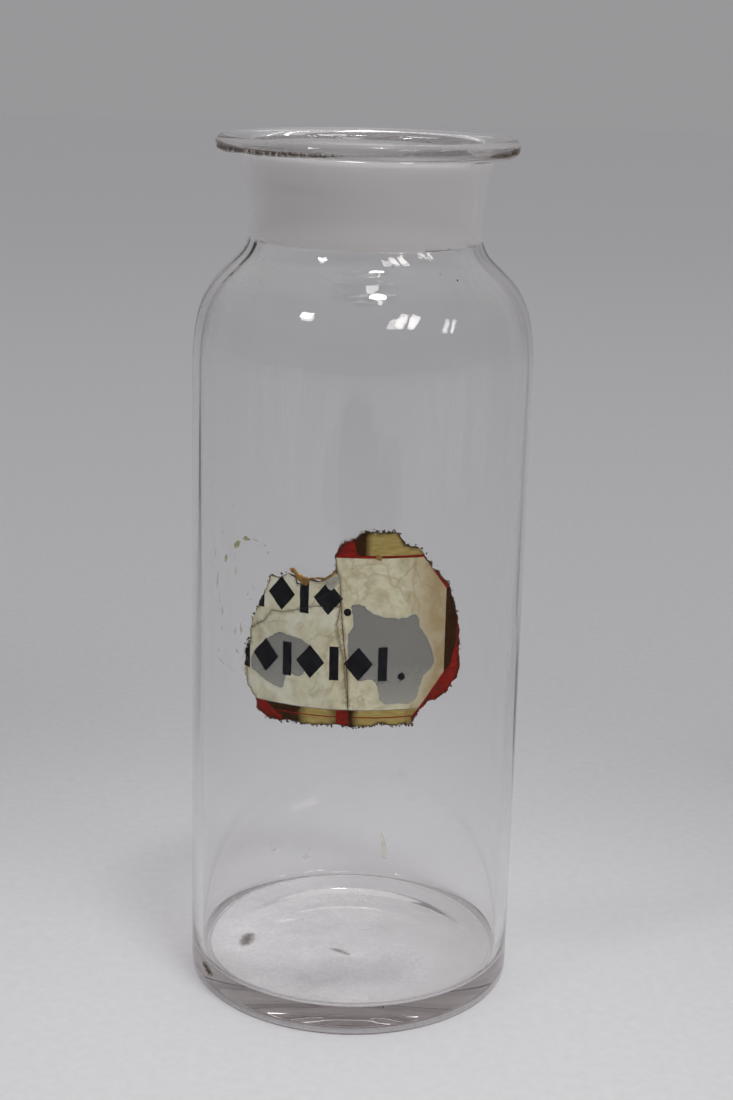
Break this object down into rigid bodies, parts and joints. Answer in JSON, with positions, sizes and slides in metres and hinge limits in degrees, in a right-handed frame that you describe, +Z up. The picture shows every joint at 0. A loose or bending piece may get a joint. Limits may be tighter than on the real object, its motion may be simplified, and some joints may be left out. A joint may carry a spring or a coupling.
{
  "type": "apothecary jar",
  "caption": "Tall clear glass apothecary jar with a flanged lip, a ground neck and the broken remains of a curved label under glass on its front.",
  "frame": {"origin": "on the jar's axis, at the plane that it stands on", "axes": "+Z up along the jar's axis towards the mouth, -Y towards the label, +X to the right as seen from the label side"},
  "size_m": [0.0908, 0.092, 0.235],
  "materials": {
    "jar_glass": "clear blown glass with a faint grey-mauve tint, frosted where the neck is ground",
    "label_glass": "thin clear curved glass, broken",
    "cream_paint": "aged cream paint, stained yellow and finely crackled",
    "gold_leaf": "gold leaf behind glass, tarnished to brown in places",
    "red_paint": "red paint behind glass",
    "black_paint": "black paint behind glass",
    "amber_cement": "old amber resin cement",
    "cement_flecks": "dry greenish-yellow flecks of cement"
  },
  "bodies": {
    "root": {"jar_glass": "jar_glass", "label_pane_right": "label_glass", "label_pane_upper_left": "label_glass", "label_pane_lower_left": "label_glass", "label_pane_sliver": "label_glass", "label_pane_chip": "label_glass", "cream_ground": "cream_paint", "gold_border_top": "gold_leaf", "gold_border_right": "gold_leaf", "gold_border_bottom": "gold_leaf", "red_patches": "red_paint", "red_lines": "red_paint", "title_marks_upper": "black_paint", "title_marks_lower": "black_paint", "label_cement": "amber_cement", "cement_residue": "cement_flecks"}
  },
  "joints": []
}
